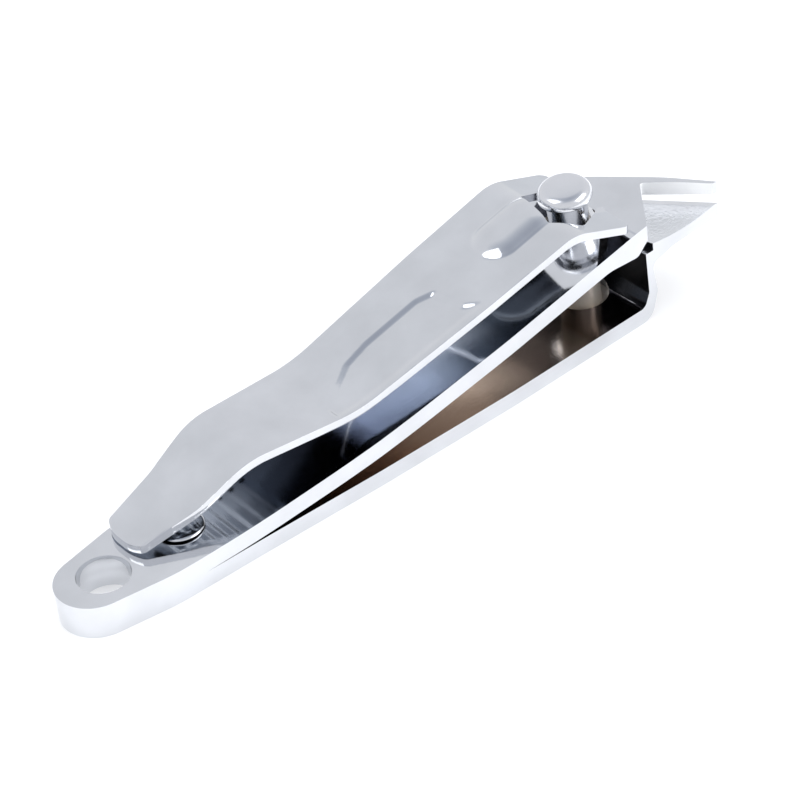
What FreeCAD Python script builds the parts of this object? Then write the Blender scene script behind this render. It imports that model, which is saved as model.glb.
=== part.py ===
import FreeCAD, Part
import math
import os
import Sketcher

# Nail clipper with a slanted edge, in millimetres.
# X runs along the clipper (tail -X, jaws +X), Y across it, Z up from the surface it lies on.
# The origin is the middle of the underside.

NAME = "nail_clipper"

# Driving dimensions: alias in the sheet -> millimetres or degrees.
DIMS = {
    "tail_end": 40.1,
    "tail_radius": 4.0,
    "eyelet_x": -35.05,
    "eyelet_radius": 2.7,
    "shoulder_x": -30.4,
    "shoulder_half_width": 5.05,
    "waist_x": -20.1,
    "waist_half_width": 5.5,
    "belly_x": -6.1,
    "belly_half_width": 6.27,
    "side_start_x": 11.0,
    "leaf_half_width": 6.8,
    "shoulder_round": 20.0,
    "edge_far_x": 29.85,
    "lower_thick": 1.82,
    "upper_thick": 1.87,
    "seam_x": -27.1,
    "rise_x": -20.6,
    "rise_z": 1.99,
    "climb_x": -5.5,
    "climb_z": 3.4,
    "jaw_root_x": 24.9,
    "jaw_root_z": 8.81,
    "rise_round": 100.0,
    "climb_round": 180.0,
    "jaw_root_round": 6.0,
    "nose_foot_x": 30.1,
    "nose_front_x": 31.1,
    "nose_front_z": 3.0,
    "nose_neck_x": 30.55,
    "nose_neck_z": 6.6,
    "nose_inside_top_x": 29.75,
    "nose_inside_x": 29.9,
    "nose_inside_z": 3.4,
    "nose_inside_foot_x": 29.2,
    "nose_outer_round": 1.8,
    "nose_inner_round": 0.9,
    "plate_root_x": 33.6,
    "plate_root_z": 7.3,
    "plate_tip_z": 7.6,
    "lower_edge_z": 9.1,
    "upper_edge_z": 10.45,
    "bulge_x": 28.7,
    "bulge_z": 8.5,
    "bulge_end_x": 30.3,
    "bulge_end_z": 9.95,
    "beak_tip_z": 11.65,
    "beak_crown_x": 36.8,
    "beak_crown_z": 12.05,
    "beak_back_x": 33.0,
    "beak_back_z": 11.85,
    "beak_hip_x": 30.2,
    "beak_hip_z": 11.6,
    "beak_root_x": 28.6,
    "beak_root_z": 11.38,
    "relief_near_x": 30.4,
    "relief_far_x": 28.9,
    "relief_gap": 0.4,
    "relief_floor_z": 8.2,
    "relief_reach": 3.0,
    "notch_rim_x": 29.29,
    "notch_root_x": 34.6,
    "notch_root_y": -1.2,
    "notch_beak_x": 40.46,
    "notch_depth_y": -7.9,
    "grind_radius": 14.0,
    "grind_depth": 0.45,
    "grind_back": 4.1,
    "pin_x": 26.78,
    "pin_lift": 0.36,
    "pin_tilt": 5.0,
    "pin_length": 15.8,
    "pin_radius": 2.1,
    "pin_flange_radius": 3.05,
    "pin_flange_thick": 0.6,
    "pin_clearance": 0.08,
    "pin_head_radius": 2.85,
    "pin_head_thick": 1.5,
    "pin_head_bevel": 0.6,
    "pin_head_dome": 0.25,
    "lower_bore_radius": 2.72,
    "lower_bore_flare": 0.3,
    "upper_bore_radius": 3.0,
    "rivet_x": -25.9,
    "rivet_head_radius": 2.5,
    "rivet_head_height": 0.5,
    "rivet_foot_radius": 2.2,
    "rivet_foot_thick": 0.5,
    "rivet_shank_radius": 1.4,
    "rivet_clearance": 0.1,
    "rivet_head_gap": 0.2,
    "rivet_head_step": 0.2,
    "rivet_dome_inset": 0.9,
    "rivet_dome_rise": 0.1,
    "rivet_foot_lift": 0.02,
    "lever_thick": 0.85,
    "lever_turn": 1.9,
    "lever_tail_x": -31.5,
    "lever_start_z": 3.62,
    "lever_ramp_x": -24.5,
    "lever_ramp_z": 5.75,
    "lever_crest_x": -19.0,
    "lever_crest_z": 8.45,
    "lever_valley_x": -6.2,
    "lever_valley_z": 7.65,
    "lever_ridge_x": 21.2,
    "lever_ridge_z": 14.38,
    "lever_front_x": 28.3,
    "lever_front_z": 11.8,
    "lever_ramp_round": 8.0,
    "lever_crest_round": 8.0,
    "lever_valley_round": 16.0,
    "lever_ridge_round": 5.0,
    "lever_lip_round": 0.35,
    "lever_tail_flat": 1.4,
    "lever_tail_bow": 0.7,
    "lever_tail_half_width": 2.85,
    "lever_neck_x": -22.1,
    "lever_neck_half_width": 4.4,
    "lever_thumb_x": -6.1,
    "lever_thumb_half_width": 5.45,
    "lever_arm_x": 9.9,
    "lever_arm_half_width": 6.28,
    "lever_fork_x": 28.6,
    "lever_fork_half_width": 6.7,
    "lever_tail_round": 4.0,
    "lever_side_round": 60.0,
    "lever_corner_round": 0.8,
    "lever_fork_round": 1.3,
    "slot_back_x": 20.9,
    "slot_back_half_width": 2.75,
    "slot_lobe_x": 23.6,
    "slot_lobe_y": -5.05,
    "slot_far_back_x": 21.9,
    "slot_far_back_y": 2.8,
    "slot_far_side_x": 25.2,
    "slot_far_side_y": 3.1,
    "slot_mouth_x": 27.6,
    "slot_mouth_half_width": 2.35,
    "slot_round": 0.5,
    "bead_start_x": 13.2,
    "bead_crown": 0.55,
    "bead_radius": 8.4,
    "bead_sweep": 44.0,
    "bead_hollow_sweep": 44.0,
    "bead_end_round": 2.0,
    "bead_run_in": 0.75,
    "bead_hollow_start": 0.5,
    "bead_root": 0.48,
    "bead_overlap": 0.03,
    "file_start_x": -27.6,
    "file_end_x": -15.5,
    "file_depth": 0.2,
    "file_half_width": 3.0,
}

FILE_TEETH = 9
LEVER_BENDS = ("lever_ramp_round", "lever_crest_round", "lever_valley_round", "lever_ridge_round")
SPARE = 1.0
WIDE = 30.0


def value(alias):
    """Number of a driving dimension, which may carry a minus sign."""
    if alias.startswith("-"):
        return -DIMS[alias[1:]]
    return DIMS[alias]


def make_sheet(doc):
    """Spreadsheet with one aliased cell for each driving dimension."""
    sheet = doc.addObject("Spreadsheet::Sheet", "Dims")
    for row, (alias, number) in enumerate(DIMS.items(), start=1):
        sheet.set("A%d" % row, alias)
        sheet.set("B%d" % row, str(number))
        sheet.setAlias("B%d" % row, alias)
    return sheet


def add_corners(sheet, name, corners):
    """Keep a profile's corners in the sheet, so that its sketch can be bound to them."""
    row = len(DIMS) + 1
    while sheet.getContents("A%d" % row):
        row += 1
    for number, (across, up) in enumerate(corners, start=1):
        for axis, coordinate in (("across", across), ("up", up)):
            alias = "%s_%s_%d" % (name, axis, number)
            sheet.set("A%d" % row, alias)
            sheet.set("B%d" % row, "%.9f" % coordinate)
            sheet.setAlias("B%d" % row, alias)
            row += 1


def new_body(doc, label):
    """Empty body with the label that names its file."""
    body = doc.addObject("PartDesign::Body", label)
    body.Label = label
    return body


def new_sketch(body, name, role):
    """Sketch on one of the body's own origin planes."""
    sketch = body.newObject("Sketcher::SketchObject", name)
    plane = [item for item in body.Origin.OriginFeatures if item.Role == role][0]
    sketch.AttachmentSupport = (plane, [""])
    sketch.MapMode = "FlatFace"
    return sketch


def fix_point(sketch, geometry, point, across, up):
    """Hold one sketch point at two sheet values."""
    for kind, formula in (("DistanceX", across), ("DistanceY", up)):
        number = getattr(sketch.getPoint(geometry, point), "x" if kind == "DistanceX" else "y")
        row = sketch.addConstraint(Sketcher.Constraint(kind, -1, 1, geometry, point, number))
        sketch.setExpression("Constraints[%d]" % row, formula)


def round_corner(before, corner, after, radius):
    """Arc of the given radius that touches both lines at a corner."""
    come = (corner - before).normalize()
    leave = (after - corner).normalize()
    turn = come.getAngle(leave)
    reach = radius * math.tan(turn / 2)
    inward = (leave - come).normalize()
    middle = corner + inward * (radius / math.cos(turn / 2) - radius)
    return Part.Arc(corner - come * reach, middle, corner + leave * reach)


def add_polygon(sketch, sheet, name, corners, rounds=None):
    """Closed outline with its corners, and any rounded ones' radii, bound to the sheet."""
    rounds = rounds or {}
    add_corners(sheet, name, corners)
    sketch.Document.recompute()
    points = [FreeCAD.Vector(across, up, 0) for across, up in corners]
    count = len(points)
    starts = list(points)
    ends = list(points)
    arcs = {}
    for step, alias in rounds.items():
        arc = round_corner(points[step - 1], points[step], points[(step + 1) % count], value(alias))
        ends[step] = arc.value(arc.FirstParameter)
        starts[step] = arc.value(arc.LastParameter)
        number = sketch.addGeometry(arc, False)
        kept = sketch.getPoint(number, 1).distanceToPoint(ends[step]) < 1e-6
        arcs[step] = (number, 1, 2) if kept else (number, 2, 1)
    lines = [sketch.addGeometry(Part.LineSegment(starts[step], ends[(step + 1) % count]), False)
             for step in range(count)]
    for step in range(count):
        corner_at = ["Dims.%s_%s_%d" % (name, axis, step + 1) for axis in ("across", "up")]
        if step in arcs:
            mark = sketch.addGeometry(Part.Point(points[step]), True)
            fix_point(sketch, mark, 1, *corner_at)
            sketch.addConstraint(Sketcher.Constraint("PointOnObject", mark, 1, lines[step - 1]))
            sketch.addConstraint(Sketcher.Constraint("PointOnObject", mark, 1, lines[step]))
            arc, first, last = arcs[step]
            sketch.addConstraint(Sketcher.Constraint("Tangent", lines[step - 1], 2, arc, first))
            sketch.addConstraint(Sketcher.Constraint("Tangent", arc, last, lines[step], 1))
            row = sketch.addConstraint(Sketcher.Constraint("Radius", arc, value(rounds[step])))
            sketch.setExpression("Constraints[%d]" % row, "Dims.%s" % rounds[step])
        else:
            sketch.addConstraint(Sketcher.Constraint("Coincident", lines[step - 1], 2, lines[step], 1))
            fix_point(sketch, lines[step], 1, *corner_at)


def add_circle(sketch, center_x, radius):
    """Circle on the sketch's own X axis, bound to two sheet values."""
    center = FreeCAD.Vector(value(center_x), 0, 0)
    circle = sketch.addGeometry(Part.Circle(center, FreeCAD.Vector(0, 0, 1), value(radius)), False)
    sketch.addConstraint(Sketcher.Constraint("PointOnObject", circle, 3, -1))
    row = sketch.addConstraint(Sketcher.Constraint("DistanceX", -1, 1, circle, 3, value(center_x)))
    sketch.setExpression("Constraints[%d]" % row, "Dims.%s" % center_x)
    row = sketch.addConstraint(Sketcher.Constraint("Radius", circle, value(radius)))
    sketch.setExpression("Constraints[%d]" % row, "Dims.%s" % radius)


def pad_across(body, sketch, half_width):
    """Pad a side profile to both sides of the middle plane."""
    pad = body.newObject("PartDesign::Pad", "Pad" + sketch.Name)
    pad.Profile = sketch
    pad.SideType = "Symmetric"
    pad.setExpression("Length", "2 * Dims.%s + 2" % half_width)
    sketch.Visibility = False
    return pad


def pocket_through(body, sketch):
    """Cut a plan shape right through, both ways."""
    pocket = body.newObject("PartDesign::Pocket", "Pocket" + sketch.Name)
    pocket.Profile = sketch
    pocket.SideType = "Symmetric"
    pocket.Length = 2 * WIDE
    sketch.Visibility = False
    return pocket


def find_edges(feature, run, places):
    """Names of the straight edges that run along an axis, nearest to the given places."""
    seen = {"y": ("x", "z"), "z": ("x", "y")}[run]
    names = []
    for place in places:
        best = None
        for number, edge in enumerate(feature.Shape.Edges, start=1):
            if len(edge.Vertexes) < 2:
                continue
            ends = [[getattr(vertex.Point, axis) for axis in seen] for vertex in edge.Vertexes]
            if math.dist(*ends) > 1e-6:
                continue
            gap = math.dist(ends[0], place)
            if best is None or gap < best[0]:
                best = (gap, "Edge%d" % number)
        names.append(best[1])
    return names


def add_fillet(body, base, names, radius, label):
    """Fillet the named edges with a radius from the sheet."""
    fillet = body.newObject("PartDesign::Fillet", label)
    fillet.Base = (base, names)
    fillet.setExpression("Radius", "Dims.%s" % radius)
    body.Document.recompute()
    return fillet


def thicken(path, thickness):
    """Mitred upper corners of a bent strip, for its lower corners."""
    normals = []
    for (start_x, start_z), (end_x, end_z) in zip(path, path[1:]):
        length = math.hypot(end_x - start_x, end_z - start_z)
        normals.append(((start_z - end_z) / length, (end_x - start_x) / length))
    upper = []
    for number, (corner_x, corner_z) in enumerate(path):
        before = normals[max(number - 1, 0)]
        after = normals[min(number, len(normals) - 1)]
        spread = 1 + before[0] * after[0] + before[1] * after[1]
        upper.append((corner_x + thickness * (before[0] + after[0]) / spread,
                      corner_z + thickness * (before[1] + after[1]) / spread))
    return upper


def pin_place(radius, height):
    """Point (x, z) at a radius and a height in the leaning pin's own directions."""
    lean = math.radians(value("pin_tilt"))
    along_x = value("pin_x") + radius * math.cos(lean) - height * math.sin(lean)
    return (along_x, value("pin_lift") + radius * math.sin(lean) + height * math.cos(lean))


def cut_pin_bore(body, sheet, name, outline):
    """Groove round the pin's axis, from an outline of (radius, height) corners."""
    sketch = new_sketch(body, name, "XZ_Plane")
    add_polygon(sketch, sheet, name, [pin_place(radius, height) for radius, height in outline])
    foot = FreeCAD.Vector(*pin_place(0, 0), 0)
    top = FreeCAD.Vector(*pin_place(0, value("pin_length")), 0)
    axis = sketch.addGeometry(Part.LineSegment(foot, top), True)
    sketch.addConstraint(Sketcher.Constraint("Block", axis))
    groove = body.newObject("PartDesign::Groove", "Groove" + name)
    groove.Profile = sketch
    groove.ReferenceAxis = (sketch, ["Axis0"])
    groove.Angle = 360
    sketch.Visibility = False
    return groove


def tail_tangent(corner_x, corner_y):
    """Where the line from a side corner touches the round tail."""
    radius = value("tail_radius")
    center_x = radius - value("tail_end")
    reach = math.hypot(corner_x - center_x, corner_y)
    angle = math.atan2(corner_y, corner_x - center_x) + math.acos(radius / reach)
    return FreeCAD.Vector(center_x + radius * math.cos(angle), radius * math.sin(angle), 0)


def add_leaf_outline(sketch):
    """Plan outline of a leaf: round tail, flared sides, slanted front edge."""
    far_side = (("shoulder_x", "shoulder_half_width"), ("waist_x", "waist_half_width"),
                ("belly_x", "belly_half_width"), ("side_start_x", "leaf_half_width"),
                ("edge_far_x", "leaf_half_width"))
    near_side = far_side[:4] + (("tail_end", "leaf_half_width"),)
    center = FreeCAD.Vector(value("tail_radius") - value("tail_end"), 0, 0)
    corner = [value(alias) for alias in far_side[0]]
    touch = tail_tangent(*corner)
    opening = math.atan2(touch.y, touch.x - center.x)
    circle = Part.Circle(center, FreeCAD.Vector(0, 0, 1), value("tail_radius"))
    sketch.addGeometry(Part.ArcOfCircle(circle, opening, 2 * math.pi - opening), False)
    for sign, side in ((1, far_side), (-1, near_side)):
        last = FreeCAD.Vector(touch.x, sign * touch.y, 0)
        joint = (0, 1 if sign > 0 else 2)
        for across, up in side:
            here = FreeCAD.Vector(value(across), sign * value(up), 0)
            line = sketch.addGeometry(Part.LineSegment(last, here), False)
            sketch.addConstraint(Sketcher.Constraint("Coincident", *joint, line, 1))
            formula = "Dims.%s" if sign > 0 else "-Dims.%s"
            fix_point(sketch, line, 2, "Dims.%s" % across, formula % up)
            last = here
            joint = (line, 2)
    far_end = len(far_side)
    front = sketch.addGeometry(Part.LineSegment(sketch.getPoint(far_end, 2), last), False)
    sketch.addConstraint(Sketcher.Constraint("Coincident", far_end, 2, front, 1))
    sketch.addConstraint(Sketcher.Constraint("Coincident", *joint, front, 2))
    sketch.addConstraint(Sketcher.Constraint("PointOnObject", 0, 3, -1))
    row = sketch.addConstraint(Sketcher.Constraint("Radius", 0, value("tail_radius")))
    sketch.setExpression("Constraints[%d]" % row, "Dims.tail_radius")


def add_surround(sketch):
    """Wide rectangle round an outline, so that a pocket removes all that lies outside it."""
    far = 2 * WIDE
    places = ((-far, -WIDE), (far, -WIDE), (far, WIDE), (-far, WIDE))
    corners = [FreeCAD.Vector(across, up, 0) for across, up in places]
    for start, end in zip(corners, corners[1:] + corners[:1]):
        sketch.addGeometry(Part.LineSegment(start, end), False)


def trim_to_leaf(body, name):
    """Cut a leaf's side profile down to its plan outline, with softened side corners."""
    sketch = new_sketch(body, name, "XY_Plane")
    add_leaf_outline(sketch)
    add_surround(sketch)
    cut = pocket_through(body, sketch)
    body.Document.recompute()
    places = [(value("shoulder_x"), sign * value("shoulder_half_width")) for sign in (1, -1)]
    return add_fillet(body, cut, find_edges(cut, "z", places), "shoulder_round", name + "Shoulder")


def drill(body, name, center_x, radius):
    """Round hole straight down through a leaf."""
    sketch = new_sketch(body, name, "XY_Plane")
    add_circle(sketch, center_x, radius)
    return pocket_through(body, sketch)


def edge_direction():
    """Unit vector along the slanted cutting edge, towards its near tip."""
    run = FreeCAD.Vector(value("tail_end") - value("edge_far_x"), -2 * value("leaf_half_width"), 0)
    return run.normalize()


def hollow_grind(body, name, edge_z, above):
    """Shallow ground hollow behind a cutting edge and along it."""
    along = edge_direction()
    back = FreeCAD.Vector(along.y, -along.x, 0)
    rise = value("grind_radius") - value("grind_depth")
    middle_x = (value("tail_end") + value("edge_far_x")) / 2
    center = FreeCAD.Vector(middle_x, 0, edge_z + (rise if above else -rise))
    foot = center + back * value("grind_back") - along * WIDE
    cut = body.newObject("PartDesign::SubtractiveCylinder", name)
    cut.Placement = FreeCAD.Placement(foot, FreeCAD.Rotation(FreeCAD.Vector(0, 0, 1), along))
    cut.setExpression("Radius", "Dims.grind_radius")
    cut.Height = 2 * WIDE
    body.Document.recompute()
    return cut


def relieve_corner(body, name):
    """Step inside the lower nose, so that the upper jaw can come down past it."""
    near = FreeCAD.Vector(value("relief_near_x"), -value("leaf_half_width"), 0)
    far = FreeCAD.Vector(value("relief_far_x"), value("leaf_half_width"), 0)
    turn = math.degrees(math.atan2(near.x - far.x, far.y - near.y))
    rotation = FreeCAD.Rotation(FreeCAD.Vector(0, 0, 1), turn)
    reach = value("relief_reach")
    gap = value("relief_gap")
    start = near + rotation.multVec(FreeCAD.Vector(gap - reach, -WIDE / 2, 0))
    start.z = value("relief_floor_z")
    cut = body.newObject("PartDesign::SubtractiveBox", name)
    cut.Placement = FreeCAD.Placement(start, rotation)
    cut.setExpression("Length", "Dims.relief_reach")
    cut.Width = WIDE
    cut.Height = WIDE
    body.Document.recompute()


def lower_profile():
    """Side profile of the lower leaf, with its nose and jaw plate."""
    start = -value("tail_end") - SPARE
    end = value("tail_end") + SPARE
    top = value("lower_thick")
    edge = value("lower_edge_z")
    return [(start, 0), (value("nose_foot_x"), 0), (value("nose_front_x"), value("nose_front_z")),
            (value("nose_neck_x"), value("nose_neck_z")), (value("plate_root_x"), value("plate_root_z")),
            (end, value("plate_tip_z")), (end, edge), (value("nose_inside_top_x"), edge),
            (value("nose_inside_x"), value("nose_inside_z")), (value("nose_inside_foot_x"), top),
            (start, top)]


def make_lower_leaf(doc, sheet):
    """Lower leaf: flat spring, turned up at the nose into the lower jaw."""
    body = new_body(doc, "lower_leaf")
    side = new_sketch(body, "LowerSide", "XZ_Plane")
    profile = lower_profile()
    add_polygon(side, sheet, "lower", profile)
    pad = pad_across(body, side, "leaf_half_width")
    doc.recompute()
    nose = add_fillet(body, pad, find_edges(pad, "y", profile[1:3]), "nose_outer_round", "NoseBend")
    inside = find_edges(nose, "y", [profile[3], profile[8], profile[9]])
    add_fillet(body, nose, inside, "nose_inner_round", "NoseInside")
    hollow_grind(body, "LowerGrind", value("lower_edge_z"), True)
    relieve_corner(body, "LowerRelief")
    trim_to_leaf(body, "LowerPlan")
    drill(body, "LowerEyelet", "eyelet_x", "eyelet_radius")
    drill(body, "LowerRivetBore", "rivet_x", "rivet_shank_radius")
    foot = new_sketch(body, "RivetRecess", "XY_Plane")
    add_circle(foot, "rivet_x", "rivet_foot_radius")
    recess = body.newObject("PartDesign::Pocket", "PocketRivetRecess")
    recess.Profile = foot
    recess.Reversed = True
    recess.setExpression("Length", "Dims.rivet_foot_thick")
    foot.Visibility = False
    bore = value("lower_bore_radius")
    wide = bore + 3 * value("lower_bore_flare")
    recess_top = value("pin_flange_thick") + value("pin_clearance")
    recess_radius = value("pin_flange_radius") + value("pin_clearance")
    flare_start = value("lower_thick") - value("pin_lift") - value("lower_bore_flare")
    cut_pin_bore(body, sheet, "LowerBore", [
        (0, -3), (recess_radius, -3), (recess_radius, recess_top), (bore, recess_top),
        (bore, flare_start), (wide, flare_start + wide - bore), (0, flare_start + wide - bore)])
    doc.recompute()
    return body


def upper_path():
    """Lower corners of the upper leaf, from the seam to the root of its jaw."""
    return [(-value("tail_end") - SPARE, value("lower_thick")), (value("seam_x"), value("lower_thick")),
            (value("rise_x"), value("rise_z")), (value("climb_x"), value("climb_z")),
            (value("jaw_root_x"), value("jaw_root_z"))]


def make_upper_leaf(doc, sheet):
    """Upper leaf: riveted tail, long sprung rise, and the upper jaw with its beak."""
    body = new_body(doc, "upper_leaf")
    side = new_sketch(body, "UpperSide", "XZ_Plane")
    path = upper_path()
    top = thicken(path, value("upper_thick"))
    end = value("tail_end") + SPARE
    edge = value("upper_edge_z")
    jaw = [(value("bulge_x"), value("bulge_z")), (value("bulge_end_x"), value("bulge_end_z")),
           (value("bulge_end_x"), edge), (end, edge), (end, value("beak_tip_z")),
           (value("beak_crown_x"), value("beak_crown_z")), (value("beak_back_x"), value("beak_back_z")),
           (value("beak_hip_x"), value("beak_hip_z")), (value("beak_root_x"), value("beak_root_z"))]
    corners = path + jaw + top[::-1]
    rounds = {2: "rise_round", 3: "climb_round", 4: "jaw_root_round", 5: "nose_inner_round"}
    rounds.update({len(corners) - 4: "climb_round", len(corners) - 3: "rise_round"})
    add_polygon(side, sheet, "upper", corners, rounds)
    pad_across(body, side, "leaf_half_width")
    doc.recompute()
    relief = new_sketch(body, "JawRelief", "XY_Plane")
    add_polygon(relief, sheet, "relief", [
        (value("relief_near_x"), -WIDE / 4), (2 * WIDE, -WIDE / 4), (2 * WIDE, WIDE / 4),
        (value("relief_far_x"), WIDE / 4)])
    cut = body.newObject("PartDesign::Pocket", "PocketJawRelief")
    cut.Profile = relief
    cut.Reversed = True
    cut.setExpression("Length", "Dims.upper_edge_z")
    relief.Visibility = False
    doc.recompute()
    trim_to_leaf(body, "UpperPlan")
    notch = new_sketch(body, "Notch", "XY_Plane")
    add_polygon(notch, sheet, "notch", [
        (value("notch_rim_x"), value("notch_depth_y")), (value("notch_beak_x"), value("notch_depth_y")),
        (value("notch_root_x"), value("notch_root_y"))])
    pocket_through(body, notch)
    drill(body, "UpperEyelet", "eyelet_x", "eyelet_radius")
    rivet_bore = new_sketch(body, "UpperRivetBore", "XY_Plane")
    radius = value("rivet_shank_radius") + value("rivet_clearance")
    circle = Part.Circle(FreeCAD.Vector(value("rivet_x"), 0, 0), FreeCAD.Vector(0, 0, 1), radius)
    ring = rivet_bore.addGeometry(circle, False)
    row = rivet_bore.addConstraint(Sketcher.Constraint("Radius", ring, radius))
    rivet_bore.setExpression("Constraints[%d]" % row, "Dims.rivet_shank_radius + Dims.rivet_clearance")
    fix_point(rivet_bore, ring, 3, "Dims.rivet_x", "0")
    pocket_through(body, rivet_bore)
    bore = value("upper_bore_radius")
    cut_pin_bore(body, sheet, "UpperBore", [(0, 4), (bore, 4), (bore, 14), (0, 14)])
    doc.recompute()
    return body


def lever_path():
    """Lower corners of the lever, from beyond its tail to its forked front."""
    return [(value("lever_tail_x") - SPARE, value("lever_start_z")),
            (value("lever_ramp_x"), value("lever_ramp_z")), (value("lever_crest_x"), value("lever_crest_z")),
            (value("lever_valley_x"), value("lever_valley_z")),
            (value("lever_ridge_x"), value("lever_ridge_z")), (value("lever_front_x"), value("lever_front_z"))]


def lever_bottom(place_x):
    """Height of the lever's underside on its ramp, bends and crest."""
    path = [FreeCAD.Vector(across, 0, up) for across, up in lever_path()]
    for before, corner, after, alias in zip(path, path[1:], path[2:], LEVER_BENDS):
        arc = round_corner(before, corner, after, value(alias)).toShape()
        left, right = sorted((vertex.Point for vertex in arc.Vertexes), key=lambda point: point.x)
        center = arc.Curve.Center
        if place_x < left.x:
            return left.z - (left.x - place_x) * (corner.z - before.z) / (corner.x - before.x)
        if place_x <= right.x:
            sign = 1 if center.z < corner.z else -1
            return center.z + sign * math.sqrt(arc.Curve.Radius ** 2 - (place_x - center.x) ** 2)
    raise ValueError("place is beyond the lever's bends")


def lever_half_outline():
    """Far side of the lever's plan outline, from its bowed tail to its fork."""
    tail = value("lever_tail_x")
    return [(tail, value("lever_tail_flat")), (tail + value("lever_tail_bow"), value("lever_tail_half_width")),
            (value("lever_neck_x"), value("lever_neck_half_width")),
            (value("lever_thumb_x"), value("lever_thumb_half_width")),
            (value("lever_arm_x"), value("lever_arm_half_width")),
            (value("lever_fork_x"), value("lever_fork_half_width"))]


def shape_lever(body, sheet):
    """Bent strip of the lever, cut to its plan outline."""
    side = new_sketch(body, "LeverSide", "XZ_Plane")
    path = lever_path()
    top = thicken(path, value("lever_thick"))
    bends = LEVER_BENDS + ("lever_lip_round",)
    rounds = dict(enumerate(bends, start=1))
    rounds.update(dict(enumerate(bends[::-1], start=len(path))))
    add_polygon(side, sheet, "lever", path + top[::-1], rounds)
    pad_across(body, side, "leaf_half_width")
    body.Document.recompute()
    plan = new_sketch(body, "LeverPlan", "XY_Plane")
    half = lever_half_outline()
    sides = ("lever_tail_round", "lever_corner_round", "lever_side_round", "lever_side_round",
             "lever_side_round", "lever_fork_round")
    rounds = dict(enumerate(sides + sides[::-1]))
    add_polygon(plan, sheet, "plan", half + [(across, -up) for across, up in half[::-1]], rounds)
    add_surround(plan)
    pocket_through(body, plan)
    body.Document.recompute()


def arm_direction():
    """Unit vector along the lever's straight arm, from its valley to its ridge."""
    start, end = lever_path()[3:5]
    return FreeCAD.Vector(end[0] - start[0], 0, end[1] - start[1]).normalize()


def arm_place(along, radius):
    """Point (x, z) along the lever's arm, at a distance from the pressed bead's axis."""
    start = lever_path()[3]
    run = arm_direction()
    rise = radius + value("lever_thick") + value("bead_crown") - value("bead_radius")
    first = (value("bead_start_x") - start[0]) / run.x
    return (start[0] + (first + along) * run.x - rise * run.z,
            start[1] + (first + along) * run.z + rise * run.x)


def turn_bead(body, sheet, name, kind, outline, sweep):
    """Part turn round the bead's axis, added to the lever or cut from it."""
    sketch = new_sketch(body, name, "XZ_Plane")
    corners = [arm_place(along, radius) for along, radius in outline]
    add_polygon(sketch, sheet, name, corners, {2: "bead_end_round"})
    ends = [FreeCAD.Vector(*arm_place(along, 0), 0) for along in (0, 10)]
    axis = sketch.addGeometry(Part.LineSegment(*ends), True)
    sketch.addConstraint(Sketcher.Constraint("Block", axis))
    turn = body.newObject(kind, "Turn" + name)
    turn.Profile = sketch
    turn.ReferenceAxis = (sketch, ["Axis0"])
    turn.Midplane = True
    turn.setExpression("Angle", "Dims.%s" % sweep)
    sketch.Visibility = False
    body.Document.recompute()


def press_bead(body, sheet):
    """Raised tongue behind the slot, hollow beneath."""
    crown = value("bead_radius")
    flat = crown - value("bead_crown")
    length = (value("slot_back_x") - value("bead_start_x")) / arm_direction().x
    inner = flat - value("bead_root")
    join = flat - value("bead_overlap")
    run_in = value("bead_run_in")
    turn_bead(body, sheet, "Bead", "PartDesign::Revolution", [
        (0, inner), (0, join), (run_in, crown), (length, crown), (length, inner)], "bead_sweep")
    thick = value("lever_thick")
    start = value("bead_hollow_start")
    turn_bead(body, sheet, "BeadHollow", "PartDesign::Groove", [
        (start, join - thick - SPARE), (start, join - thick), (start + run_in, crown - thick),
        (length + SPARE, crown - thick), (length + SPARE, join - thick - SPARE)], "bead_hollow_sweep")


def cut_file(body, sheet):
    """Fine ridges across the underside of the lever's tail."""
    sketch = new_sketch(body, "File", "XZ_Plane")
    pitch = (value("file_end_x") - value("file_start_x")) / FILE_TEETH
    depth = value("file_depth")
    corners = []
    for tooth in range(FILE_TEETH):
        root_x = value("file_start_x") + tooth * pitch
        corners.append((root_x, lever_bottom(root_x) - depth / 8))
        corners.append((root_x + pitch / 2, lever_bottom(root_x + pitch / 2) + depth))
    last_x = value("file_end_x")
    corners += [(last_x, lever_bottom(last_x) - depth / 8), (last_x, lever_bottom(last_x) - 1),
                (value("file_start_x"), lever_bottom(value("file_start_x")) - 1)]
    add_polygon(sketch, sheet, "file", corners)
    cut = body.newObject("PartDesign::Pocket", "PocketFile")
    cut.Profile = sketch
    cut.SideType = "Symmetric"
    cut.setExpression("Length", "2 * Dims.file_half_width")
    sketch.Visibility = False
    body.Document.recompute()


def make_lever(doc, sheet):
    """Thumb lever: file ridges, pressed bead, keyhole fork, turned a little about the leaning pin."""
    body = new_body(doc, "lever")
    shape_lever(body, sheet)
    press_bead(body, sheet)
    cut_file(body, sheet)
    slot = new_sketch(body, "Slot", "XY_Plane")
    mouth_x = value("slot_mouth_x")
    mouth = value("slot_mouth_half_width")
    front_x = value("lever_front_x") + SPARE
    rounds = {corner: "slot_round" for corner in (0, 1, 2, 5, 6, 7)}
    add_polygon(slot, sheet, "slot", [
        (value("slot_far_back_x"), value("slot_far_back_y")),
        (value("slot_far_side_x"), value("slot_far_side_y")), (mouth_x, mouth), (front_x, mouth),
        (front_x, -mouth), (mouth_x, -mouth), (value("slot_lobe_x"), value("slot_lobe_y")),
        (value("slot_back_x"), -value("slot_back_half_width"))], rounds)
    pocket_through(body, slot)
    lean = math.radians(value("pin_tilt"))
    pin_axis = FreeCAD.Vector(-math.sin(lean), 0, math.cos(lean))
    foot = FreeCAD.Vector(value("pin_x"), 0, value("pin_lift"))
    turn = FreeCAD.Rotation(pin_axis, -value("lever_turn"))
    body.Placement = FreeCAD.Placement(FreeCAD.Vector(), turn, foot)
    doc.recompute()
    return body


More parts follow.
